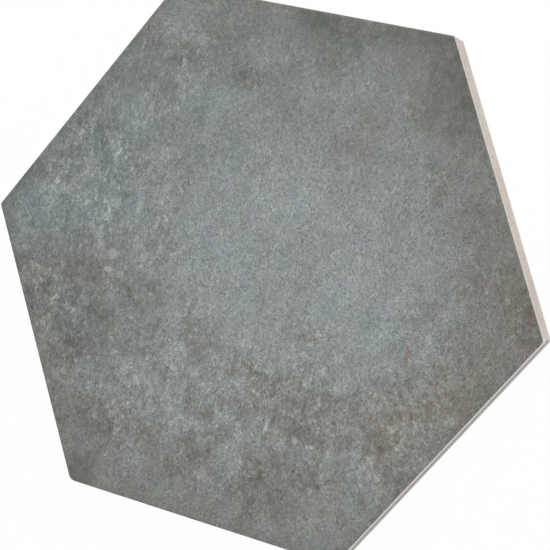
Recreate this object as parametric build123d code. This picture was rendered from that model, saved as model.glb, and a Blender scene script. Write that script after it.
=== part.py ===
from build123d import *
import math
import os

# A hexagon floor tile of pressed and glazed stoneware, fired as one piece. It lies face up on
# its back, with the middle of the back at the origin and a corner on +X.

# Driving sizes, in millimetres
across_flats = 175.0  # from side to side, over the upper band of the edge
thickness = 11.0  # from the glazed face down to the ribs of the back
face_corner = 0.2  # rounding of the flat face's six corners, inside the rounded rim
arris_radius = 0.8  # rounding of the rim between the face and the edge
band_depth = 4.0  # height of the upper band of the edge, down from the face
band_step = 0.15  # how far the lower wall is set back under the upper band
back_bevel = 0.4  # bevel round the back
border_width = 8.0  # plain border of the back, outside the outermost key cells
cell_width = 10.0  # a key cell of the back, from side to side at its mouth
cell_depth = 0.6  # depth of a key cell

# Driving slopes, in degrees
wall_draft = 0.5  # the lower wall narrows towards the back, so that the pressing leaves the die
cell_draft = 25.0  # slope of a key cell's walls

# Driving count
cell_rings = 6  # rings of key cells round the bare pad in the middle of the back

# Places that follow from the sizes
sides = 6
half_turn_of_side = math.pi / sides
corner_radius = face_corner + arris_radius
band_floor = thickness - band_depth
cell_corner = cell_width / 2 / math.cos(half_turn_of_side)
row_height = (across_flats / 2 - border_width - cell_corner) / cell_rings
cell_pitch = row_height / math.cos(half_turn_of_side)


def hexagon(width, rounding):
    """A hexagon of the given width across flats, with a rounded corner on +X."""
    outline = RegularPolygon(width / 2, sides, major_radius=False)
    return fillet(outline.vertices(), rounding)


def pressed_body():
    """The blank as it leaves the die: the upper band with its rounded rim, and under its step
    the drafted lower wall with the bevel round the back."""
    band_outline = hexagon(across_flats, corner_radius)
    wall_outline = hexagon(across_flats - 2 * band_step, corner_radius - band_step)
    band = Pos(0, 0, band_floor) * extrude(band_outline, band_depth)
    wall = Pos(0, 0, band_floor) * extrude(wall_outline, -band_floor, taper=wall_draft)
    band = fillet(band.faces().sort_by(Axis.Z)[-1].edges(), arris_radius)
    wall = chamfer(wall.faces().sort_by(Axis.Z)[0].edges(), back_bevel)
    return band + wall


def key_cell():
    """The stud of the die that leaves one key cell: a low pyramid stump, sunk in the back."""
    mouth = RegularPolygon(cell_width / 2, sides, major_radius=False, rotation=180 / sides)
    return extrude(mouth, cell_depth, taper=cell_draft)


def key_cell_places():
    """Centres of the key cells: whole rings of a honeycomb round the bare pad."""
    places = []
    for column in range(-cell_rings, cell_rings + 1):
        for row in range(-cell_rings, cell_rings + 1):
            ring = max(abs(column), abs(row), abs(column + row))
            if 0 < ring <= cell_rings:
                places.append(Pos((column + row / 2) * cell_pitch, row * row_height))
    return places


stud = key_cell()
key_cells = [place * stud for place in key_cell_places()]
hexagon_tile = pressed_body() - key_cells

os.makedirs("parts", exist_ok=True)
export_step(hexagon_tile, "parts/hexagon_tile.step")
print("key cells:", len(key_cells), "rib width, mm:", round(cell_pitch - cell_width, 2))
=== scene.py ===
# %% [markdown]
# # A hexagon floor tile
# A cement-look tile is one slab of pressed stoneware. A press squeezes damp clay powder in a steel
# die, a pale slip and a printed glaze go on top, and one firing turns all of it into one piece.
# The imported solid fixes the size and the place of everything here. This script adds what the solid
# leaves out: the thin skin of glaze with its faint relief, the bare clay edge that shows under it,
# and the surfaces themselves.

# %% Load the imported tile
import math

import bpy
import numpy as np
from mathutils import Color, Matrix, Quaternion, Vector, geometry, noise


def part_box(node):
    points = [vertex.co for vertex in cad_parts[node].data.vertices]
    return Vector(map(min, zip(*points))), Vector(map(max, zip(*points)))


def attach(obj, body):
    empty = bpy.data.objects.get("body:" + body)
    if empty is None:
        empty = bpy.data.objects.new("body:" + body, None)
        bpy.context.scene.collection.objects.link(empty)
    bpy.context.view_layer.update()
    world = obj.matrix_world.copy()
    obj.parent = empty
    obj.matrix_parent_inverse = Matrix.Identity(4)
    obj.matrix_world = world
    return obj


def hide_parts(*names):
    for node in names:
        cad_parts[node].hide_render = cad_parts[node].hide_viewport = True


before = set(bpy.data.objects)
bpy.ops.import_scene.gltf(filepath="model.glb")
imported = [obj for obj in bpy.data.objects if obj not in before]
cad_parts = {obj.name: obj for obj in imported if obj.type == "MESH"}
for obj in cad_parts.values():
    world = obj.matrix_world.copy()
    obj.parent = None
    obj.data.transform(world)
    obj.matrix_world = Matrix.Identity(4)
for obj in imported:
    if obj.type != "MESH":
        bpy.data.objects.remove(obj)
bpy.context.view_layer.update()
print("Packed nodes:", sorted(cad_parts))

# %% [markdown]
# ## Sizes
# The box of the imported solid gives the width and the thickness. The sizes of the edge and of the
# back are the ones that the solid was drawn with, so that the visible surfaces lie on it. Only one
# corner differs: it is knocked and worn, so it is rounder than the five others.

# %% Sizes of the tile, in metres
MM = 0.001
SIDES = 6
turn_of_side = 2 * math.pi / SIDES
half_turn_of_side = turn_of_side / 2
tile_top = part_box("hexagon_tile")[1]
half_flats = tile_top.y  # from the middle to a side
half_corners = tile_top.x  # from the middle to a rounded corner
thickness = tile_top.z
corner_radius = 1.0 * MM  # rounding of the upright corners
worn_corner = 4  # number of the worn corner, counted from the +X corner
worn_radius = 3.0 * MM  # rounding of that corner
arris_radius = 0.8 * MM  # rounding of the rim between the face and the edge
band_depth = 4.0 * MM  # height of the upper band of the edge
band_step = 0.15 * MM  # how far the lower wall is set back under that band
wall_draft = math.radians(0.5)  # slope of the lower wall
back_bevel = 0.4 * MM  # bevel round the back
print("Across flats, mm:", round(2 * half_flats / MM, 2), "thickness, mm:", round(thickness / MM, 2))

# %% [markdown]
# ## Camera
# The rim of a regular hexagon shows where a picture was taken from: the six corners only line up
# for one place of the camera. A long lens looks down on the face, and the camera is rolled almost
# a quarter turn, so that the +X corner of the tile points to the right of the picture.

# %% Set up the camera
camera_aim = Vector((8.317 * MM, -0.433 * MM, thickness))
camera_distance = 556.26 * MM
camera_azimuth = math.radians(101.185)
camera_elevation = math.radians(67.086)
camera_roll = math.radians(-87.791)
camera_back = Vector((
    math.sin(camera_azimuth) * math.cos(camera_elevation),
    -math.cos(camera_azimuth) * math.cos(camera_elevation),
    math.sin(camera_elevation),
))


def place_object(name, data):
    """Puts a new object with the given data in the scene."""
    made = bpy.data.objects.new(name, data)
    bpy.context.scene.collection.objects.link(made)
    return made


camera_data = bpy.data.cameras.new("camera")
camera_data.sensor_width = 36.0
camera_data.lens = 110.09
camera = place_object("camera", camera_data)
camera.location = camera_aim + camera_back * camera_distance
level_turn = (-camera_back).to_track_quat("-Z", "Y")
camera.rotation_mode = "QUATERNION"
camera.rotation_quaternion = level_turn @ Quaternion((0.0, 0.0, 1.0), camera_roll)
bpy.context.scene.camera = camera
bpy.context.scene.view_settings.view_transform = "Standard"
right_of_picture = camera.rotation_quaternion @ Vector((1.0, 0.0, 0.0))
print("Right of the picture:", [round(part, 4) for part in right_of_picture])

# %% [markdown]
# ## Floor and light
# A tile is photographed for a catalogue on a white table under a wide, even light. Here the sky is
# a plain white dome, with one large soft lamp above it for a little direction. The floor is white
# too. Seen straight by the camera it is mostly a plain white card, and part of its shading stays,
# so that the tile's soft shadow shows where it lies. Materials and the sky are trees of nodes, and
# a few helpers keep the making of those trees short.

# %% Helpers that add shader nodes
SCREEN_WHITE = 255


def add_node(tree, kind, inputs=None, **settings):
    """Adds a node, sets its properties, and gives its inputs numbers or links from other nodes."""
    made = tree.nodes.new(kind)
    for name, value in settings.items():
        setattr(made, name, value)
    for socket, value in (inputs or {}).items():
        if isinstance(value, bpy.types.NodeSocket):
            tree.links.new(value, made.inputs[socket])
        else:
            made.inputs[socket].default_value = value
    return made


def maths(operation, *values):
    """The result of a maths node on numbers and links, in the tree that the links come from."""
    tree = next(value.id_data for value in values if isinstance(value, bpy.types.NodeSocket))
    return add_node(tree, "ShaderNodeMath", dict(enumerate(values)), operation=operation).outputs[0]


def paint(red, green, blue):
    """A colour named as on a screen, from 0 to 255, in the linear values that shaders work with."""
    screen = Color([channel / SCREEN_WHITE for channel in (red, green, blue)])
    return (*screen.from_srgb_to_scene_linear(), 1.0)


def cleared_tree(owner):
    """The node tree of a new material or sky, with nothing in it."""
    owner.use_nodes = True
    owner.node_tree.nodes.clear()
    return owner.node_tree


def seen_straight(tree):
    """A mask that is 1 for what the camera sees, straight or in a mirror, and 0 for lighting."""
    path = add_node(tree, "ShaderNodeLightPath")
    mask = path.outputs["Is Camera Ray"]
    for ray in ("Is Glossy Ray", "Is Transmission Ray"):
        mask = maths("MAXIMUM", mask, path.outputs[ray])
    return mask


white = paint(SCREEN_WHITE, SCREEN_WHITE, SCREEN_WHITE)
print("A screen's white, as shaders have it:", [round(channel, 3) for channel in white])

# %% Make the floor
floor_half = 3.0
card_share = 0.96  # how much of the floor the camera sees as a plain white card
floor_corners = [(x * floor_half, y * floor_half, 0.0) for x, y in ((-1, -1), (1, -1), (1, 1), (-1, 1))]
floor_mesh = bpy.data.meshes.new("floor")
floor_mesh.from_pydata(floor_corners, [], [(0, 1, 2, 3)])
floor = place_object("floor", floor_mesh)

floor_white = bpy.data.materials.new("floor_white")
floor_tree = cleared_tree(floor_white)
card = add_node(floor_tree, "ShaderNodeEmission", {"Color": white, "Strength": 1.0})
table = add_node(floor_tree, "ShaderNodeBsdfDiffuse", {"Color": paint(249, 249, 248)})
card_mask = maths("MULTIPLY", seen_straight(floor_tree), card_share)
floor_mix = add_node(floor_tree, "ShaderNodeMixShader",
                     {0: card_mask, 1: table.outputs[0], 2: card.outputs[0]})
add_node(floor_tree, "ShaderNodeOutputMaterial", {"Surface": floor_mix.outputs[0]})
floor_mesh.materials.append(floor_white)
print("Floor, m:", 2 * floor_half, "by", 2 * floor_half)

# %% Make the sky and the lamp
sky_strength = 0.58
lamp_share = 0.40  # what the lamp adds on the face, where the sky and the lamp together make about 1
lamp_size = 0.9
lamp_distance = 1.3
lamp_direction = Vector((0.2, 0.8, 1.0)).normalized()

sky = bpy.data.worlds.new("sky")
sky_tree = cleared_tree(sky)
white_sky = add_node(sky_tree, "ShaderNodeBackground", {"Color": white, "Strength": 1.0})
lit_sky = add_node(sky_tree, "ShaderNodeBackground", {"Color": white, "Strength": sky_strength})
sky_mix = add_node(sky_tree, "ShaderNodeMixShader",
                   {0: seen_straight(sky_tree), 1: lit_sky.outputs[0], 2: white_sky.outputs[0]})
add_node(sky_tree, "ShaderNodeOutputWorld", {"Surface": sky_mix.outputs[0]})
bpy.context.scene.world = sky

lamp_data = bpy.data.lights.new("soft_lamp", "AREA")
lamp_data.shape = "SQUARE"
lamp_data.size = lamp_size
lamp_data.energy = lamp_share * math.pi ** 2 * lamp_distance ** 2 / lamp_direction.z
lamp = place_object("soft_lamp", lamp_data)
lamp.location = lamp_direction * lamp_distance
lamp.rotation_mode = "QUATERNION"
lamp.rotation_quaternion = (-lamp_direction).to_track_quat("-Z", "Y")
print("Lamp power, W:", round(lamp_data.energy, 2))

# %% [markdown]
# ## Outline
# Every ring of points round this tile is the same figure: a hexagon with rounded corners. It could
# be a bevelled polygon, but its distance from the middle also has a plain formula, a straight side
# or a corner's arc. With the formula, any ring follows from how far it is set in from the sides and
# how far down from the face. The points of all rings stand at the same angles, so rings join up
# without twisting, and they crowd towards the corners, where the outline turns.

# %% Place the points of a ring
side_steps = 150  # points along one side
corner_gather = 0.65  # how much the points of a side crowd towards its two corners


def on_circle(angles):
    """Points on a circle of radius 1, at the given angles."""
    return np.stack([np.cos(angles), np.sin(angles)], 1)


def side_shares(count, gather):
    """Places of points along a side, as shares of it, which may crowd towards both of its ends."""
    even = np.arange(count) / count
    return even - gather * np.sin(2 * math.pi * even) / (2 * math.pi)


def along_sides(shares):
    """Points along all six sides of a hexagon of radius 1, at the given shares of each side."""
    corners = on_circle(corner_angles)
    sides = np.roll(corners, -1, axis=0) - corners
    return (corners[:, None] + sides[:, None] * shares[:, None]).reshape(-1, 2)


corner_angles = np.arange(SIDES) * turn_of_side
outline_shares = side_shares(side_steps, corner_gather)
outline_points = along_sides(outline_shares)
ring_angles = np.arctan2(outline_points[:, 1], outline_points[:, 0])
ring_count = SIDES * side_steps
closest = half_corners * float(outline_shares[1])
print("Points in a ring:", ring_count, "closest, mm:", round(closest / MM, 3))


# %% Round the corners of the outline
def outline_radius(angle, apothem, rounding):
    """Distance from the middle to a rounded hexagon's outline, at an angle from the +X corner."""
    off_corner = np.abs((angle + half_turn_of_side) % turn_of_side - half_turn_of_side)
    side = apothem / np.cos(half_turn_of_side - off_corner)
    centre = (apothem - rounding) / math.cos(half_turn_of_side)
    reach = np.sqrt(np.maximum(rounding ** 2 - (centre * np.sin(off_corner)) ** 2, 0.0))
    arc_end = np.arctan2(rounding * math.sin(half_turn_of_side),
                         centre + rounding * math.cos(half_turn_of_side))
    return np.where(off_corner < arc_end, centre * np.cos(off_corner) + reach, side)


def rounding_at(angle):
    """Rounding of the corner that is nearest to an angle."""
    nearest = np.round(angle / turn_of_side) % SIDES
    return np.where(nearest == worn_corner, worn_radius, corner_radius)


corner_reach = outline_radius(corner_angles, half_flats, rounding_at(corner_angles))
print("From the middle to the corners, mm:", (corner_reach / MM).round(2).tolist())


# %% Make rings at any depth
def ring_at(inset, depth):
    """A ring of points, set in from the sides and down from the face. Both may vary along it."""
    radius = outline_radius(ring_angles, half_flats - inset, rounding_at(ring_angles) - inset)
    height = np.broadcast_to(thickness - depth, radius.shape)
    return np.column_stack([on_circle(ring_angles) * radius[:, None], height])


def arris_ring(turn, under):
    """A ring on the rounded rim: turn is 0 on the face and a quarter turn on the edge, and under
    is how far the ring lies below the surface of the rim."""
    radius = arris_radius - under
    return ring_at(arris_radius - radius * np.sin(turn), arris_radius - radius * np.cos(turn))


rim = ring_at(0.0, 0.0)
rim_length = float(np.linalg.norm(np.roll(rim, -1, axis=0) - rim, axis=1).sum())
print("Round the rim, mm:", round(rim_length / MM, 1))

# %% [markdown]
# ## Skin of glaze
# The glaze is a glassy coat 0.3 mm thick. It flows a little before it sets, which leaves slow
# waves, a finer peel and a few pinholes where gas came out of the clay. A bump in the material
# could show these, but as real relief they stay in the mesh when it is exported. So the face is a
# lattice of small triangles, ring by ring from the middle, and its last ring meets the outline.

# %% Lay the lattice of the face
gather_fade = 8  # the higher, the nearer to the rim the points begin to crowd


def lattice_start(ring):
    """Number of the first point of a ring of the lattice. Ring 0 is the point in the middle."""
    return 1 + SIDES * ring * (ring - 1) // 2 if ring else 0


def face_lattice(rings):
    """A triangular lattice over a hexagon of radius 1: its points, ring by ring, and triangles."""
    points = [np.zeros((1, 2))]
    triangles = []
    for ring in range(1, rings + 1):
        share = ring / rings
        points.append(share * along_sides(side_shares(ring, corner_gather * share ** gather_fade)))
        here = np.arange(SIDES * ring)
        side, step = here // ring, here % ring
        inner_count = max(SIDES * (ring - 1), 1)
        inner = lattice_start(ring - 1) + (side * (ring - 1) + step) % inner_count
        inner_after = lattice_start(ring - 1) + (side * (ring - 1) + step + 1) % inner_count
        outer = lattice_start(ring) + here
        outer_after = lattice_start(ring) + (here + 1) % (SIDES * ring)
        triangles.append(np.stack([outer, outer_after, inner], 1))
        between = step < ring - 1
        triangles.append(np.stack([inner, outer_after, inner_after], 1)[between])
    return np.concatenate(points), np.concatenate(triangles)


lattice, face_triangles = face_lattice(side_steps)
print("Points of the lattice:", len(lattice), "triangles:", len(face_triangles))

# %% Fit the lattice to the rounded corners
pull_fade = 6  # the higher, the nearer to the rim the lattice begins to round its corners
face_apothem = half_flats - arris_radius
face_corner = face_apothem / math.cos(half_turn_of_side)
lattice_angles = np.arctan2(lattice[:, 1], lattice[:, 0])
sharp_radius = outline_radius(lattice_angles, face_apothem, 0.0)
round_radius = outline_radius(lattice_angles, face_apothem, rounding_at(lattice_angles) - arris_radius)
rim_share = np.linalg.norm(lattice, axis=1) * face_corner / sharp_radius
corner_pull = 1.0 + (round_radius / sharp_radius - 1.0) * rim_share ** pull_fade
face_points = lattice * (corner_pull * face_corner)[:, None]
print("The worn corner is pulled in by, mm:", round(float(1.0 - corner_pull.min()) * face_corner / MM, 3))

# %% [markdown]
# The relief only ever dips below the flat face of the solid, so the tile keeps its thickness.
# Three sizes of smooth noise make the waves, the peel and the grain of the glaze, and small bowls
# at random places make the pinholes. The random draws start from a fixed number, so that every
# run gives the same tile.

# %% Dip the glaze below the flat face
glaze_relief = [  # size of the waves, their depth, and the seed of their noise
    (26.0 * MM, 0.05 * MM, 1.0),
    (3.2 * MM, 0.03 * MM, 5.0),
    (1.5 * MM, 0.02 * MM, 9.0),
]
pinholes = 110
pinhole_depth = 0.10 * MM  # the deepest
shallow_share = 0.3  # the shallowest, as a share of the deepest
pinhole_radii = (0.7, 1.3)  # the smallest and the largest, in millimetres
pinhole_seed = 11
chance = np.random.default_rng(pinhole_seed)


def waves(points, size, seed):
    """Smooth noise from 0 to 1 over points of the face, with waves of the given size."""
    return np.array([0.5 + 0.5 * noise.noise(Vector((x, y, seed))) for x, y in points / size])


def face_dip(points):
    """How far the glaze lies below the flat face at each point."""
    dip = sum(depth * waves(points, size, seed) for size, depth, seed in glaze_relief)
    for _ in range(pinholes):
        angle = chance.uniform(0.0, 2 * math.pi)
        centre = half_flats * math.sqrt(chance.uniform()) * np.array([math.cos(angle), math.sin(angle)])
        radius = chance.uniform(*pinhole_radii) * MM
        depth = pinhole_depth * chance.uniform(shallow_share, 1.0)
        off = np.linalg.norm(points - centre, axis=1) / radius
        dip += depth * np.clip(1.0 - off ** 2, 0.0, 1.0)
    return dip


face_dips = face_dip(face_points)
face_top = np.column_stack([face_points, thickness - face_dips])
print("Deepest dip of the glaze, mm:", round(float(face_dips.max()) / MM, 3))

# %% [markdown]
# At the rim the glaze rounds over and ends in a lip that wanders a little, because it is poured or
# sprayed on and not cut. The rings of the rim follow that lip, and the dips of the face fade out
# on the way down to it. Under the lip the skin turns back in, so that it is a closed body.

# %% Roll the glaze over the rim
glaze_thickness = 0.30 * MM
lip_thickness = 0.10 * MM
lip_end = 62.0  # degrees from the face round the rim, where the glaze ends on average
lip_wander = 5.0  # degrees
lip_waves = 9.0 * MM
lip_seed = 3.0
lip_rows = 5


def ring_noise(size, seed):
    """A smooth wander from -1 to 1 along the rim, with waves of the given size."""
    return np.array([noise.noise(Vector((x, y, seed))) for x, y, _ in rim / size])


lip_turn = np.radians(lip_end + lip_wander * ring_noise(lip_waves, lip_seed))
glaze_rings = [arris_ring(lip_turn * row / lip_rows, 0.0) for row in range(1, lip_rows + 1)]
rim_dips = face_dips[lattice_start(side_steps):]
for row, ring in enumerate(glaze_rings, start=1):
    ring[:, 2] -= rim_dips * (1.0 - row / lip_rows)
glaze_rings.append(arris_ring(lip_turn, lip_thickness))
glaze_rings.append(arris_ring(lip_turn / 2, glaze_thickness))
glaze_rings.append(arris_ring(0.0, glaze_thickness))
print("Rings of the glaze's rim:", len(glaze_rings))


# %% Join the face and the rings of the glaze
def quads_between(starts):
    """Quads from each ring to the next, facing outwards. A ring is named by its first point's number."""
    here = np.arange(ring_count)
    after = (here + 1) % ring_count
    return np.concatenate([np.stack([upper + here, lower + here, lower + after, upper + after], 1)
                           for upper, lower in zip(starts[:-1], starts[1:])])


glaze_points = np.concatenate([face_top, *glaze_rings])
glaze_starts = [lattice_start(side_steps)]
glaze_starts += [len(face_top) + number * ring_count for number in range(len(glaze_rings))]
lip_foot = lip_rows + 1  # number of the last ring that can be seen
rim_quads = quads_between(glaze_starts[:lip_foot + 1])
under_quads = quads_between(glaze_starts[lip_foot:])
underside = list(range(glaze_starts[-1], glaze_starts[-1] + ring_count))[::-1]
glaze_faces = [*face_triangles.tolist(), *rim_quads.tolist(), *under_quads.tolist(), underside]
print("Quads of the rim:", len(rim_quads), "under it:", len(under_quads))

# %% [markdown]
# A bake map holds the colours of a piece as one flat picture. The face and the rim lie on the map
# as they are seen from above. The faces that nobody sees share a small nook in a corner of it.

# %% Make the skin of glaze
map_edge = 0.003
map_nook = 0.06
whole_map = ((map_edge, map_edge), (1 - map_edge, 1 - map_edge))
nook_map = ((map_edge, map_edge), (map_nook, map_nook))
smooth_glaze = math.radians(40.0)  # edges sharper than this stay sharp


def flat_map(points, faces, box):
    """Places on the bake map for the corners of faces seen from above, in a box of the map."""
    low, high = np.array(box)
    spread = points[np.ravel(faces), :2] / (2 * np.array([half_corners, half_flats])) + 0.5
    return low + spread * (high - low)


def make_piece(name, points, faces, map_places, sharp_angle):
    """Makes a mesh piece with its map for baked colours, and lets it ride on the tile."""
    mesh = bpy.data.meshes.new(name)
    mesh.from_pydata(points.tolist(), [], faces)
    bake_map = mesh.uv_layers.new(name="OFBake")
    bake_map.data.foreach_set("uv", np.concatenate(map_places).ravel())
    mesh.shade_smooth()
    mesh.set_sharp_from_angle(angle=sharp_angle)
    piece = place_object(name, mesh)
    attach(piece, "root")
    print(name, "points:", len(mesh.vertices), "faces:", len(mesh.polygons))
    return piece


glaze_map = [
    flat_map(glaze_points, face_triangles, whole_map),
    flat_map(glaze_points, rim_quads, whole_map),
    flat_map(glaze_points, under_quads, nook_map),
    flat_map(glaze_points, underside, nook_map),
]
glaze_skin = make_piece("glaze_skin", glaze_points, glaze_faces, glaze_map, smooth_glaze)

# %% [markdown]
# ## Edge of the body
# Under the glaze is the bare clay. Its edge has an upper band as the die formed it, a fine step,
# and a lower wall that narrows towards the back so that the pressing leaves the die. A little of
# the powder always breaks away there, so the edge is faintly rough. A stack of rings gives each of
# these its place, and noise moves the rings of the band and the wall inwards, never outwards.

# %% Stack the rings of the edge
body_gap = 0.03 * MM  # between the glaze and the body under it
lip_proud = 0.05 * MM  # how far the glaze's lip stands out over the body
hidden_shares = (0.0, 0.5, 0.9)  # places of the rings under the glaze, on the way to its lip
glaze_thinning = 0.6  # how much of its thickness the glaze loses on that way
step_edge = 0.06 * MM  # size of the worn edge of the step
arris_rows, band_rows, wall_rows = 4, 7, 12
wall_roughness = 0.03 * MM
coarse_size, fine_size = 5.0 * MM, 1.6 * MM
coarse_share, fine_share = 0.4, 0.6
band_seed, wall_seed, fine_seed = 10.0, 20.0, 40.0
row_drift = 0.22  # how fast the roughness changes from one ring to the next


def rough(inset, depth, seed):
    """A ring of the edge with its faint, broken roughness, which only goes inwards."""
    coarse = 0.5 + 0.5 * ring_noise(coarse_size, seed)
    fine = 0.5 + 0.5 * ring_noise(fine_size, seed + fine_seed)
    return ring_at(inset + wall_roughness * (coarse_share * coarse + fine_share * fine), depth)


hidden_rings = [arris_ring(lip_turn * share, glaze_thickness * (1.0 - glaze_thinning * share) + body_gap)
                for share in hidden_shares]
edge_rings = []
for row in range(arris_rows):
    share = row / arris_rows
    edge_rings.append(arris_ring(lip_turn + (math.pi / 2 - lip_turn) * share, lip_proud * (1.0 - share)))
for row in range(band_rows):
    depth = arris_radius + (band_depth - arris_radius) * row / band_rows
    edge_rings.append(rough(0.0, depth, band_seed + row_drift * row))
edge_rings.append(ring_at(step_edge / 2, band_depth - step_edge / 2))
edge_rings.append(ring_at(step_edge * 2, band_depth))
for row in range(wall_rows + 1):
    depth = band_depth + (thickness - back_bevel - band_depth) * row / wall_rows
    inset = band_step + (depth - band_depth) * math.tan(wall_draft)
    edge_rings.append(rough(inset, depth, wall_seed + row_drift * row))
foot_inset = band_step + (thickness - band_depth) * math.tan(wall_draft) + back_bevel
edge_rings.append(ring_at(foot_inset, thickness))
body_rings = hidden_rings + edge_rings
print("Rings of the edge:", len(edge_rings))

# %% [markdown]
# ## Keyed back
# The back is keyed: rings of shallow six-sided cells give the adhesive a grip. The cells could be
# cut with a boolean, but their corners are known, so it is cleaner to place them by rule. The flat
# land between the cells is filled by a triangulation that keeps the rim and all cell mouths as
# edges. The triangles that it also lays over the cells are dropped.

# %% Place the key cells
border_width = 8.0 * MM  # plain border of the back
cell_width = 10.0 * MM  # a key cell, from side to side at its mouth
cell_depth = 0.6 * MM
cell_draft = math.radians(25.0)  # slope of a cell's walls
cell_rings = 6
cell_corner = cell_width / 2 / math.cos(half_turn_of_side)
floor_corner = (cell_width / 2 - cell_depth * math.tan(cell_draft)) / math.cos(half_turn_of_side)
row_height = (half_flats - border_width - cell_corner) / cell_rings
cell_pitch = row_height / math.cos(half_turn_of_side)
cell_shape = on_circle(corner_angles + half_turn_of_side)

cell_centres = []
for column in range(-cell_rings, cell_rings + 1):
    for row in range(-cell_rings, cell_rings + 1):
        if 0 < max(abs(column), abs(row), abs(column + row)) <= cell_rings:
            cell_centres.append(((column + row / 2) * cell_pitch, row * row_height))
cell_centres = np.array(cell_centres)
cell_mouths = (cell_centres[:, None] + cell_shape * cell_corner).reshape(-1, 2)
cell_floors = (cell_centres[:, None] + cell_shape * floor_corner).reshape(-1, 2)
print("Key cells:", len(cell_centres), "ribs between them, mm:", round((cell_pitch - cell_width) / MM, 2))

# %% Fill the land between the cells
inside_only = 1
weld_distance = 1e-9
land_points = np.concatenate([edge_rings[-1][:, :2], cell_mouths])
rim_loop = [(number, (number + 1) % ring_count) for number in range(ring_count)]
mouth_corners = np.arange(len(cell_mouths))
mouth_nexts = mouth_corners // SIDES * SIDES + (mouth_corners + 1) % SIDES
mouth_loops = np.stack([mouth_corners, mouth_nexts], 1) + ring_count
land_corners = [Vector(point) for point in land_points.tolist()]
land_edges = rim_loop + mouth_loops.tolist()
_, _, land_faces, *_ = geometry.delaunay_2d_cdt(land_corners, land_edges, [], inside_only, weld_distance)
land_triangles = np.array(land_faces)
triangle_middles = land_points[land_triangles].mean(1)
off_cells = np.linalg.norm(triangle_middles[:, None] - cell_centres[None], axis=2).min(1)
land_triangles = land_triangles[off_cells > cell_width / 2]
print("Triangles between the cells:", len(land_triangles))

# %% Join the edge and the back
rim_start = (len(body_rings) - 1) * ring_count
mouth_start = len(body_rings) * ring_count
floor_start = mouth_start + len(cell_mouths)
mouth_points = np.column_stack([cell_mouths, np.zeros(len(cell_mouths))])
floor_points = np.column_stack([cell_floors, np.full(len(cell_floors), cell_depth)])
body_points = np.concatenate([*body_rings, mouth_points, floor_points])

body_starts = [number * ring_count for number in range(len(body_rings))]
hidden_quads = quads_between(body_starts[:len(hidden_rings) + 1])
edge_quads = quads_between(body_starts[len(hidden_rings):])
body_top = list(range(ring_count))
land_numbers = np.where(land_triangles < ring_count, land_triangles + rim_start,
                        land_triangles - ring_count + mouth_start)[:, ::-1]
cell_walls = np.stack([mouth_start + mouth_corners, floor_start + mouth_corners,
                       floor_start + mouth_nexts, mouth_start + mouth_nexts], 1)
cell_bottoms = (floor_start + mouth_corners).reshape(-1, SIDES)[:, ::-1]
body_faces = [*hidden_quads.tolist(), body_top, *edge_quads.tolist(), *land_numbers.tolist(),
              *cell_walls.tolist(), *cell_bottoms.tolist()]
print("Quads of the edge:", len(edge_quads), "walls of the cells:", len(cell_walls))

# %% [markdown]
# The back takes most of the body's bake map, seen straight on. The edge is cut at the six corners
# and laid below it as six strips, in three rows of two. The heights on a strip follow the path
# from ring to ring down the middle of a side, so that nothing on the strip is stretched.

# %% Lay the strips of the edge on the body's bake map
strip_rows = 3
strip_gap = 0.004
strip_height = 0.042
strip_width = strip_rows / SIDES
strip_length = strip_width - 2 * strip_gap
middle_of_side = side_steps // 2

edge_path = np.array([ring[middle_of_side] for ring in edge_rings])
path_steps = np.linalg.norm(np.diff(edge_path, axis=0), axis=1)
share_down = np.append(0.0, np.cumsum(path_steps)) / path_steps.sum()
strip_number, strip_step = np.divmod(np.arange(ring_count), side_steps)
strip_left = (strip_number // strip_rows) * strip_width + strip_gap
strip_foot = (strip_number % strip_rows) * strip_height + strip_gap
share_ends = np.append(outline_shares, 1.0)
left = strip_left + strip_length * share_ends[strip_step]
right = strip_left + strip_length * share_ends[strip_step + 1]
edge_places = []
for upper_share, lower_share in zip(share_down[:-1], share_down[1:]):
    upper = strip_foot + (strip_height - strip_gap) * (1.0 - upper_share)
    lower = strip_foot + (strip_height - strip_gap) * (1.0 - lower_share)
    quad_corners = [(left, upper), (left, lower), (right, lower), (right, upper)]
    edge_places.append(np.stack([np.stack(corner, 1) for corner in quad_corners], 1).reshape(-1, 2))
print("Way down the edge, mm:", round(float(path_steps.sum()) / MM, 2))

# %% Make the body
smooth_body = math.radians(30.0)  # edges sharper than this stay sharp
back_foot = strip_rows * strip_height + strip_gap
back_map = ((map_edge, back_foot), (1 - map_edge, 1 - map_edge))
body_nook = ((map_edge, back_foot), (map_nook, back_foot + map_nook))
body_map = [
    flat_map(body_points, hidden_quads, body_nook),
    flat_map(body_points, body_top, body_nook),
    *edge_places,
    flat_map(body_points, land_numbers, back_map),
    flat_map(body_points, cell_walls, back_map),
    flat_map(body_points, cell_bottoms, back_map),
]
stoneware_body = make_piece("stoneware_body", body_points, body_faces, body_map, smooth_body)
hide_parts("hexagon_tile")

# %% [markdown]
# ## Shared effects
# Both surfaces are made of ground minerals, so both show grain: small pale and dark specks at the
# size of coarse sand. It could be drawn anew in each material, but a node group is built once and
# used in either one at its own size.

# %% Start the mineral grain
grain_turn = 0.64  # radians, so that most of the noise does not line up with the cells of the sand
grain_parts = ("Sand", "Grit", "Pale strokes", "Dark flecks")


def new_group(name, inputs, outputs):
    """Starts a shader node group with the named sockets and returns its tree and end nodes."""
    tree = bpy.data.node_groups.new(name, "ShaderNodeTree")
    for way, sockets in (("INPUT", inputs), ("OUTPUT", outputs)):
        for socket, kind in sockets.items():
            tree.interface.new_socket(socket, in_out=way, socket_type=kind)
    return tree, tree.nodes.new("NodeGroupInput"), tree.nodes.new("NodeGroupOutput")


def scaled(vector, factor):
    """A vector times a number."""
    made = add_node(vector.id_data, "ShaderNodeVectorMath", {0: vector, "Scale": factor}, operation="SCALE")
    return made.outputs[0]


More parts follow.
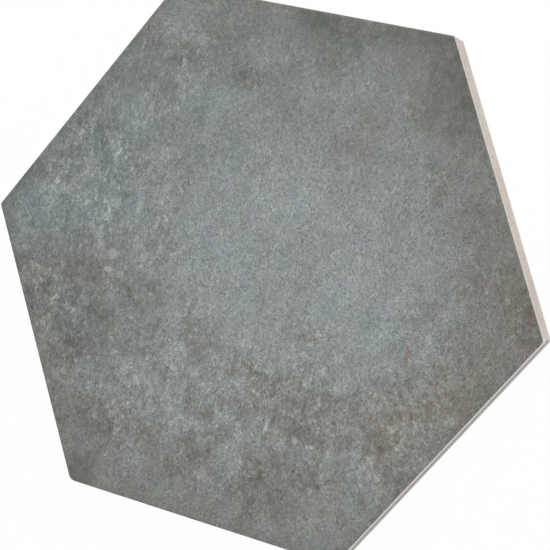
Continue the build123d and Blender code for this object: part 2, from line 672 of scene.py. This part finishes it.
grain_group, grain_in, grain_out = new_group(
    "mineral_grain",
    {"Place": "NodeSocketVector", "Fineness": "NodeSocketFloat"},
    dict.fromkeys(grain_parts, "NodeSocketFloat"),
)
grain_place = scaled(grain_in.outputs["Place"], grain_in.outputs["Fineness"])
turned = add_node(grain_group, "ShaderNodeVectorRotate", {"Vector": grain_place, "Angle": grain_turn},
                  rotation_type="Z_AXIS").outputs["Vector"]
print("Parts of the grain:", grain_parts)

# %% [markdown]
# Sand is a mosaic of small cells, each with its own shade, stronger in some patches than in others.
# Grit is soft noise at a coarser size. Pale strokes are short crooked lines, where a smooth noise
# passes its middle, with a few crumbs among them. Dark flecks are the lowest spots of one more noise.

# %% Fill in the mineral grain
NOISE_MIDDLE = 0.5  # the value that noise varies round


def times(first, *others):
    """The product of numbers and links."""
    for other in others:
        first = maths("MULTIPLY", first, other)
    return first


def line(value, slope, base):
    """A straight line: the slope times a value, plus a base."""
    return maths("MULTIPLY_ADD", value, slope, base)


def off_middle(value):
    """How far a noise lies above or below its middle."""
    return maths("SUBTRACT", value, NOISE_MIDDLE)


def rising(value, start, end):
    """A mask that goes smoothly from 0 at start to 1 at end."""
    made = add_node(value.id_data, "ShaderNodeMapRange",
                    {"Value": value, "From Min": start, "From Max": end}, interpolation_type="SMOOTHSTEP")
    return made.outputs["Result"]


def fractal(place, size, detail=0.0, roughness=0.5, output="Fac"):
    """Fractal noise over a place in millimetres, with its largest features of the given size."""
    made = add_node(place.id_data, "ShaderNodeTexNoise",
                    {"Vector": place, "Scale": 1.0 / size, "Detail": detail, "Roughness": roughness})
    return made.outputs[output]


sand_cells = add_node(grain_group, "ShaderNodeTexVoronoi", {"Vector": grain_place, "Scale": 1.0})
sand_patches = rising(fractal(turned, size=8.0, detail=1.0), start=0.35, end=0.65)
sand_strength = line(sand_patches, slope=0.8, base=0.6)
sand = line(off_middle(sand_cells.outputs["Color"]), sand_strength, NOISE_MIDDLE)
grit = fractal(turned, size=3.8, detail=1.0, roughness=0.8)
ridges = rising(maths("ABSOLUTE", off_middle(fractal(grain_place, size=3.2))), start=0.06, end=0.0)
ridge_breaks = rising(fractal(turned, size=4.6), start=0.48, end=0.60)
crumbs = rising(fractal(turned, size=5.0), start=0.66, end=0.80)
strokes = maths("MAXIMUM", times(ridges, ridge_breaks), crumbs)
dark_flecks = rising(fractal(turned, size=1.9), start=0.36, end=0.24)
for name, part in zip(grain_parts, (sand, grit, strokes, dark_flecks)):
    grain_group.links.new(part, grain_out.inputs[name])
print("Nodes in the grain:", len(grain_group.nodes))

# %% [markdown]
# Clouds and marks of a print are all the same thing at another place: a soft oval. So they share a
# second group. It counts the distance from an oval's centre in half sizes, and fades with it.

# %% Build the placed stain
stain_edge = 0.85  # where a stain is half faded, as a share of its half size


def vectors(operation, first, second):
    """The result of a vector maths node on a link and another link or vector."""
    made = add_node(first.id_data, "ShaderNodeVectorMath", {0: first, 1: second}, operation=operation)
    return made.outputs[0]


stain_group, stain_in, stain_out = new_group(
    "placed_stain",
    {"Place": "NodeSocketVector", "Centre": "NodeSocketVector", "Half size": "NodeSocketVector",
     "Softness": "NodeSocketFloat"},
    {"Mask": "NodeSocketFloat"},
)
off_centre = vectors("SUBTRACT", stain_in.outputs["Place"], stain_in.outputs["Centre"])
in_halves = vectors("DIVIDE", off_centre, stain_in.outputs["Half size"])
halves_out = add_node(stain_group, "ShaderNodeVectorMath", {0: in_halves}, operation="LENGTH")
fade_start = maths("ADD", stain_edge, stain_in.outputs["Softness"])
fade_end = maths("SUBTRACT", stain_edge, stain_in.outputs["Softness"])
stain_mask = rising(halves_out.outputs["Value"], fade_start, fade_end)
stain_group.links.new(stain_mask, stain_out.inputs["Mask"])
print("Nodes in the stain:", len(stain_group.nodes))

# %% [markdown]
# ## Printed glaze
# The print copies worn cement: a cool grey ground with a cloudy bluish bloom in the middle, and
# brown, rusty, greenish and sooty stains gathered towards the rim. Noise alone would put such
# clouds anywhere, so the large ones are placed one by one. Each is x, y, half width and half
# height, in millimetres on the face, and a strength. A bloom makes the print paler and cooler, a
# stain makes it darker, and soot dims the grain.

# %% Place the blooms, the stains and the soot
bloom_clouds = [
    (10, 9, 62, 46, 0.265), (-58, 12, 24, 12, 0.07), (-32, 52, 18, 9, 0.12), (-18, 4, 14, 12, 0.09),
    (44, -11, 18, 12, 0.07), (-35, 31, 7, 6, 0.06), (-57, 60, 6, 5, 0.13), (-40, -46, 14, 9, 0.13),
    (-45, 75, 9, 8, 0.14), (-54, 42, 8, 6, 0.14), (-67, 1, 5, 5, 0.09), (-84, 6, 8, 8, 0.16),
    (9, 60, 13, 6, 0.08), (45, 52, 6, 6, 0.09), (28, 68, 14, 8, 0.06), (65, -16, 7, 7, 0.18),
    (68, -38, 7, 6, 0.17), (-22, -55, 10, 8, 0.17), (4, -42, 9, 6, 0.13), (52, -53, 9, 7, 0.11),
    (-12, 71, 10, 5, 0.14), (35, -31, 7, 6, 0.09), (0, -55, 70, 40, 0.09), (43, -79, 10, 6, 0.16),
    (-76, -2, 16, 10, 0.11), (-13, -41, 10, 5, 0.11), (-5, -11, 7, 6, 0.06), (45, 37, 8, 8, 0.09),
    (55, -12, 9, 6, 0.05), (65, 20, 6, 6, 0.05), (-26, 40, 7, 6, 0.06),
]
stain_clouds = [
    (52, 74, 12, 15, 0.23), (12, 83, 20, 7, 0.24), (40, 84, 12, 7, 0.14), (62, 62, 8, 13, 0.17),
    (12, 72, 7, 6, 0.13), (-28, 75, 9, 8, 0.12), (-16, 62, 7, 5, 0.27), (22, 44, 13, 7, 0.08),
    (72, 34, 9, 9, 0.05), (81, 13, 11, 9, 0.14), (95, 5, 8, 12, 0.12), (-60, -14, 12, 7, 0.08),
    (-60, -29, 9, 7, 0.10), (-75, -27, 12, 11, 0.22), (-86, -17, 9, 7, 0.09), (-47, -82, 9, 8, 0.27),
    (-45, -68, 14, 9, 0.12), (-64, -42, 9, 10, 0.14), (20, -71, 8, 9, 0.22), (36, -63, 9, 4, 0.14),
    (29, -46, 14, 5, 0.12), (5, -30, 6, 5, 0.09), (-5, -70, 10, 10, 0.12), (-15, -24, 7, 7, 0.13),
    (-38, -18, 9, 6, 0.13), (-72, 31, 6, 8, 0.08), (-51, 25, 5, 4, 0.05), (-48, 51, 9, 6, 0.08),
    (27, -17, 7, 6, 0.14), (15, -5, 4, 4, 0.06), (5, -8, 3, 4, 0.06), (9, -61, 12, 5, 0.10),
    (18, -37, 16, 8, 0.12), (-27, -35, 8, 9, 0.08), (-57, 70, 6, 5, 0.09), (62, 54, 6, 6, 0.04),
    (20, -16, 9, 6, 0.05), (9, -77, 11, 9, 0.11), (-36, -64, 7, 8, 0.13), (-62, -44, 10, 8, 0.05),
    (-3, 34, 8, 7, 0.06), (95.5, 7, 3, 4, 0.12), (-37, 61, 10, 5, 0.10), (-39, 0, 9, 6, 0.08),
    (32, 10, 8, 6, 0.05), (56, 40, 7, 7, 0.15), (-62, 34, 12, 9, 0.05), (5, 10, 5, 5, 0.06),
]
soot_clouds = [
    (12, 83, 24, 9, 0.30), (48, 78, 18, 16, 0.36), (60, 62, 12, 16, 0.30), (-58, 46, 20, 18, 0.22),
    (-48, -82, 9, 9, 0.5),
]
print("Blooms:", len(bloom_clouds), "stains:", len(stain_clouds), "clouds of soot:", len(soot_clouds))

# %% [markdown]
# Rust warms the print, and verdigris turns it towards a bluish green. The worn clouds add no tone
# of their own: they say where the print is worn through most, so that its grain shows. The small
# marks are pale chips that cover the grain, and brown specks and streaks that lie under it.

# %% Place the colours, the wear and the small marks
rust_clouds = [
    (84, 13, 14, 12, 0.18), (95, 4, 9, 14, 0.03), (75, -24, 12, 12, 0.32), (58, -34, 10, 8, 0.24),
    (64, -46, 12, 13, 0.24), (14, -40, 26, 14, 0.16), (48, -44, 14, 10, 0.16), (72, 34, 9, 9, 0.10),
    (20, -68, 8, 10, 0.14), (36, -66, 11, 7, 0.16), (42, -75, 13, 8, 0.13), (-60, -16, 13, 8, 0.10),
    (90, -7, 12, 12, 0.15), (30, 54, 9, 7, 0.05), (-15, -29, 6, 6, 0.08), (-15, 62, 7, 4, 0.06),
    (12, -8, 12, 8, 0.06),
]
verdigris_clouds = [
    (-84, -4, 16, 12, 0.20), (-66, 36, 18, 20, 0.20), (-70, 14, 28, 18, 0.17), (-38, -18, 9, 6, 0.08),
    (-68, 2, 9, 8, 0.10), (-36, 40, 26, 16, 0.16), (52, -9, 14, 8, 0.07), (-20, 66, 44, 20, 0.13),
    (-58, 56, 10, 8, 0.10), (-92, 3, 11, 10, 0.14), (12, 83, 24, 9, 0.07), (-70, -28, 16, 14, 0.10),
    (-45, -34, 20, 24, 0.09), (-30, 12, 28, 20, 0.08), (48, 46, 14, 9, 0.07),
]
worn_clouds = [
    (-62, 5, 45, 60, 0.10), (15, -48, 60, 30, 0.12), (75, -25, 25, 35, 0.10), (-68, 28, 26, 32, 0.10),
    (-66, -22, 30, 28, 0.02), (-52, 62, 24, 20, 0.08), (-45, -60, 34, 26, 0.07), (55, -44, 22, 18, 0.06),
    (5, -46, 34, 18, 0.03),
]
chips = [
    (-52.5, -7, 2.2, 2.0, 0.68), (-53, -12.8, 1.9, 1.2, 0.85), (-36.5, 70.5, 2.6, 2.2, 0.28),
    (-22.8, -11.3, 0.8, 1.5, 0.45), (-20.8, -10.4, 1.5, 0.5, 0.30), (6.5, 33.5, 0.7, 0.8, 0.70),
    (28, -52, 0.9, 1.0, 0.75), (16, -66, 1.6, 0.9, 0.40), (-69, 21, 2.4, 2.8, 0.22),
    (-4.3, 70, 0.6, 1.6, 0.55), (5.3, 71, 0.8, 1.2, 0.35), (98, 1, 1.9, 0.5, 0.22),
    (91.4, -1, 1.0, 0.7, 0.18), (93.1, 0.9, 1.0, 0.7, 0.18),
]
streaks = [
    (10, 37, 2.4, 1.5, 0.28), (2, 3, 0.9, 3.2, 0.32), (59, -15.2, 1.3, 4.2, 0.56),
    (27, -18, 2.4, 2.0, 0.25), (16, -63.5, 1.4, 1.5, 0.35), (96.2, 6, 1.3, 2.8, 0.45),
    (-42, 68, 2.6, 1.6, 0.20),
]
print("Clouds of colour:", len(rust_clouds + verdigris_clouds), "small marks:", len(chips + streaks))

# %% [markdown]
# The print's tone is one value from dark to pale. A mottle of noise varies it, blooms raise it and
# stains lower it. The places of the clouds are bent by noise twice, so that no edge is regular.
# Where the print is worn, the mottle is stronger, and a crust of sharper blotches breaks it up.

# %% Start the glaze
print_stretch = (1.0, 0.75, 1.0)  # the print's pattern runs slightly along Y


def new_material(name):
    """Starts a node material and returns it with its shader and the place in millimetres."""
    made = bpy.data.materials.new(name)
    made.use_nodes = True
    coordinates = add_node(made.node_tree, "ShaderNodeTexCoord")
    return made, made.node_tree.nodes["Principled BSDF"], scaled(coordinates.outputs["Object"], 1.0 / MM)


def wander(place, size, reach, detail=1.0, roughness=0.5):
    """A vector that noise sends up to the given reach each way."""
    push = fractal(place, size, detail, roughness, output="Color")
    return scaled(vectors("SUBTRACT", push, (NOISE_MIDDLE,) * 3), 2.0 * reach)


def bent(place, size, reach):
    """A place pushed about by noise: waves of the given size, up to the given reach."""
    return vectors("ADD", place, wander(place, size, reach))


glaze, glaze_shader, face_place = new_material("cement_print_glaze")
drawn = vectors("MULTIPLY", face_place, print_stretch)
drift = bent(bent(face_place, size=18.0, reach=4.0), size=5.0, reach=3.0)
mottle = fractal(drawn, size=16.0, detail=2.5, roughness=0.75)
crust = rising(fractal(drawn, size=4.5, detail=4.0, roughness=0.8), start=0.40, end=0.60)
print("Nodes before the clouds:", len(glaze.node_tree.nodes))

# %% Mix the tone of the print
plain_tone = 0.49  # tone of the print where there is no cloud
cloud_depth = 3000.0  # millimetres, so deep that the height on the tile makes no difference


def cloud_cover(place, clouds, start=0.0, softness=0.6):
    """The sum of a list of placed clouds, on top of a starting value."""
    cover = start
    for x, y, half_width, half_height, strength in clouds:
        cloud = add_node(place.id_data, "ShaderNodeGroup", {
            "Place": place,
            "Centre": (x, y, thickness / MM),
            "Half size": (half_width, half_height, cloud_depth),
            "Softness": softness,
        }, node_tree=stain_group)
        cover = line(cloud.outputs["Mask"], strength, cover)
    return cover


clear = maths("SUBTRACT", 1.0, cloud_cover(drift, soot_clouds))
stain = cloud_cover(drift, stain_clouds)
bloom = cloud_cover(drift, bloom_clouds, plain_tone)
worn = cloud_cover(drift, worn_clouds, line(stain, slope=0.7, base=0.05))
wear = times(worn, clear)
mottle_gain = line(wear, slope=1.9, base=0.35)
tone = line(off_middle(mottle), mottle_gain, bloom)
tone = line(stain, slope=-1.12, base=tone)
crust_shade = times(maths("SUBTRACT", NOISE_MIDDLE, crust), wear)
tone = line(crust_shade, slope=0.55, base=tone)
print("Nodes up to the tone:", len(glaze.node_tree.nodes))


# %% Darken the print towards the rim
def reach_towards(place, turn):
    """How far a place lies from the middle of the tile, towards a side."""
    side = (math.cos(turn), math.sin(turn), 0.0)
    made = add_node(place.id_data, "ShaderNodeVectorMath", {0: place, 1: side}, operation="DOT_PRODUCT")
    return made.outputs["Value"]


from_middle = 0.0
for number in range(SIDES // 2):
    side_reach = reach_towards(face_place, half_turn_of_side + number * turn_of_side)
    from_middle = maths("MAXIMUM", maths("ABSOLUTE", side_reach), from_middle)
from_rim = maths("SUBTRACT", half_flats / MM, from_middle)
tone = line(rising(from_rim, start=2.1, end=1.3), slope=-0.04, base=tone)
tone = line(rising(from_rim, start=7.0, end=1.0), slope=-0.05, base=tone)
print("Nodes up to the rim:", len(glaze.node_tree.nodes))

# %% [markdown]
# The tone picks a colour from a ramp: warm and dark at one end, pale and cool at the other. Rust
# and verdigris are then mixed in where their clouds are, broken by the same crust, and the streaks
# go on last.

# %% Colour the print
print_ramp = [(0.0, paint(87, 86, 78)), (0.5, paint(125, 127, 123)), (1.0, paint(156, 166, 167))]
rust_brown = paint(128, 112, 94)
verdigris_green = paint(104, 127, 131)
streak_brown = paint(130, 112, 96)
mix_first, mix_second, mix_result = 6, 7, 2  # numbers of a mix node's sockets for colours


def colour_steps(value, steps):
    """A ramp of colours, from (position, colour) steps."""
    made = add_node(value.id_data, "ShaderNodeValToRGB", {"Fac": value})
    elements = made.color_ramp.elements
    for position, _ in steps[2:]:
        elements.new(position)
    for element, (position, colour) in zip(elements, steps):
        element.position = position
        element.color = colour
    return made.outputs["Color"]


def mixed(share, first, second, kind="MIX"):
    """The colour between two colours, by a mask."""
    made = add_node(first.id_data, "ShaderNodeMix", {0: share, mix_first: first, mix_second: second},
                    data_type="RGBA", blend_type=kind)
    return made.outputs[mix_result]


def centred(value, gain):
    """Noise round its middle, turned into a factor round 1."""
    return line(off_middle(value), gain, 1.0)


print_colour = colour_steps(tone, print_ramp)
broken = centred(crust, gain=0.7)
for clouds, colour in ((rust_clouds, rust_brown), (verdigris_clouds, verdigris_green)):
    print_colour = mixed(times(cloud_cover(drift, clouds), broken), print_colour, colour)
mark_place = bent(face_place, size=1.6, reach=0.5)
print_colour = mixed(cloud_cover(mark_place, streaks, softness=0.4), print_colour, streak_brown)
print("Nodes up to the colours:", len(glaze.node_tree.nodes))

# %% [markdown]
# The mineral grain goes over all of it. Sand and grit shade the colour, and a tint of soft noise
# keeps any two patches from having quite the same grey. The pale strokes show where the print is
# worn, and the dark flecks where it is not. Soot dims all but the tint.

# %% Lay the grain over the print
glaze_sand = 0.34  # millimetres
stroke_strength = 4.4
fleck_grey = paint(92, 94, 90)


def lay_grain(place, size):
    """Places the mineral grain in a material, with sand of the given size, and returns its parts."""
    return add_node(place.id_data, "ShaderNodeGroup", {"Place": place, "Fineness": 1 / size},
                    node_tree=grain_group).outputs


print_grain = lay_grain(drawn, glaze_sand)
sand_gain = times(clear, line(wear, slope=0.95, base=0.68))
grit_gain = line(wear, slope=1.2, base=0.45)
tint = wander(drawn, size=8.0, reach=0.08, detail=3.0, roughness=0.8)
stroke_gain = times(wear, stroke_strength, line(crust, slope=-0.9, base=1.4), clear)
stroke_share = times(print_grain["Pale strokes"], stroke_gain)
for factor in (
    centred(print_grain["Sand"], sand_gain),
    line(crust_shade, slope=0.75, base=1.0),
    centred(print_grain["Grit"], grit_gain),
    vectors("ADD", tint, (1.0, 1.0, 1.0)),
    line(stroke_share, slope=0.36, base=1.0),
):
    print_colour = mixed(1.0, print_colour, factor, "MULTIPLY")
dark_gain = times(clear, line(wear, slope=-1.6, base=0.60))
print_colour = mixed(times(print_grain["Dark flecks"], dark_gain), print_colour, fleck_grey)
print("Sand of the glaze, mm:", glaze_sand)

# %% [markdown]
# Last come the chips. The finished colour then goes to the shader, and the sand also gives the
# roughness and a fine tooth, which make the glaze matt.

# %% Chip and finish the glaze
chip_grey = paint(166, 168, 165)


def finish_surface(shader, colour, sand, dullness, gloss, tooth, tooth_depth):
    """Gives a shader its colour, and takes its roughness and its fine tooth from the sand."""
    tree = shader.id_data
    dull = add_node(tree, "ShaderNodeMapRange",
                    {"Value": sand, "To Min": dullness[0], "To Max": dullness[1]})
    bump = add_node(tree, "ShaderNodeBump", {"Height": sand, "Strength": tooth, "Distance": tooth_depth})
    tree.links.new(colour, shader.inputs["Base Color"])
    tree.links.new(dull.outputs["Result"], shader.inputs["Roughness"])
    tree.links.new(bump.outputs["Normal"], shader.inputs["Normal"])
    shader.inputs["Specular IOR Level"].default_value = gloss


print_colour = mixed(cloud_cover(mark_place, chips, softness=0.25), print_colour, chip_grey)
finish_surface(glaze_shader, print_colour, print_grain["Sand"],
               dullness=(0.52, 0.78), gloss=0.35, tooth=0.25, tooth_depth=0.05 * MM)
glaze_skin.data.materials.append(glaze)
print("Nodes in the glaze:", len(glaze.node_tree.nodes))

# %% [markdown]
# ## Bare stoneware
# Fired stoneware is a warm pale beige. Next to the glaze runs a line of the whiter slip that lies
# under the print, and it ends in an uneven foot. It could be a piece of its own, but it is only a
# stain in the clay. The height above the back says where it is, so no painted mask is needed.

# %% Mix the clay and the line of slip
clay_ramp = [(0.3, paint(202, 192, 183)), (0.7, paint(214, 205, 197))]
slip_white = paint(219, 216, 210)
slip_share = 0.8
slip_reach = 2.0  # millimetres from the face down to the lowest foot of the slip
slip_wander = 1.2  # how much higher the foot can be

bisque, bisque_shader, body_place = new_material("bare_stoneware")
height = add_node(bisque.node_tree, "ShaderNodeSeparateXYZ", {0: body_place}).outputs["Z"]
clay_colour = colour_steps(fractal(body_place, size=12.0, detail=4.0, roughness=0.6), clay_ramp)
slip_waves = fractal(body_place, size=6.0, detail=2.0)
slip_foot = line(slip_waves, slope=slip_wander, base=thickness / MM - slip_reach)
slip = rising(maths("SUBTRACT", height, slip_foot), start=0.0, end=0.3)
clay_colour = mixed(times(slip, slip_share), clay_colour, slip_white)
print("The slip runs down from the face by, mm:", slip_reach - slip_wander, "to", slip_reach)

# %% [markdown]
# One side of the tile has a pale film of slip over it in patches, and this film is partly painted
# light: it keeps that side, which faces away from the lamp, as bright as a lit one at its upper band
# and near the back. Under the step of the upper band a painted shade darkens the lower wall. It is
# darkest in a painted shadow along the crease itself and fades out towards the back.

# %% Paint slip, light and shade on one side
# Partly slip and partly painted light: this white brightens the side that faces away from the lamp.
slip_and_painted_light_white = paint(235, 232, 228)
# Painted shade: this grey darkens the lower wall of that side, under the step of its band.
painted_shade_grey, painted_shade_share = paint(156, 154, 150), 0.95
# Painted shadow: this brown draws a dark line along the crease under the step.
painted_shadow_brown, painted_shadow_share = paint(112, 108, 102), 0.4
crease_height = (thickness - band_depth) / MM
crease_blur = 0.1  # millimetres
painted_side_turn = -half_turn_of_side
painted_side_start, painted_side_end = 0.75, 0.35  # millimetres in from that side

inside_side = maths("SUBTRACT", half_flats / MM, reach_towards(body_place, painted_side_turn))
painted_side = rising(inside_side, painted_side_start, painted_side_end)
slip_and_painted_light_patches = fractal(body_place, size=5.0, detail=3.0, roughness=0.6)
# Where the pale film lies. It is partly slip and partly painted light.
slip_and_painted_light = times(painted_side, line(slip_and_painted_light_patches, slope=0.6, base=0.6))
below_step = rising(height, crease_height + crease_blur, crease_height - crease_blur)
# Painted shade under the step, strongest near it and fading out towards the back.
painted_shade = times(below_step, rising(height, start=0.8, end=4.8), slip_and_painted_light, painted_shade_share)
off_crease = maths("ABSOLUTE", maths("SUBTRACT", height, crease_height))
# A painted shadow line along the crease under the step.
crease = times(rising(off_crease, start=0.45, end=0.1), painted_side, painted_shadow_share)
for share, colour in ((slip_and_painted_light, slip_and_painted_light_white), (painted_shade, painted_shade_grey), (crease, painted_shadow_brown)):
    clay_colour = mixed(share, clay_colour, colour)
print("The crease is above the back by, mm:", round(crease_height, 2))

# %% [markdown]
# On the back, a chalky wash keeps tiles from sticking to the kiln's rollers, and it stays on as a
# patchy white film on the ribs. The grain goes over everything, coarser than in the glaze, because
# the clay is not ground as finely.

# %% Wash the back and finish the stoneware
clay_sand = 0.8  # millimetres
wash_white, wash_share = paint(228, 226, 221), 0.7
fleck_brown, fleck_share = paint(150, 138, 124), 0.25

wash_film = rising(fractal(body_place, size=7.0, detail=4.0, roughness=0.65), start=0.42, end=0.62)
on_ribs = rising(height, start=0.12, end=0.02)
clay_colour = mixed(times(wash_film, on_ribs, wash_share), clay_colour, wash_white)
clay_grain = lay_grain(body_place, clay_sand)
clay_colour = mixed(1.0, clay_colour, centred(clay_grain["Sand"], gain=0.15), "MULTIPLY")
clay_colour = mixed(times(clay_grain["Dark flecks"], fleck_share), clay_colour, fleck_brown)
finish_surface(bisque_shader, clay_colour, clay_grain["Sand"],
               dullness=(0.8, 0.98), gloss=0.25, tooth=0.4, tooth_depth=0.08 * MM)
stoneware_body.data.materials.append(bisque)
print("Nodes in the stoneware:", len(bisque.node_tree.nodes))
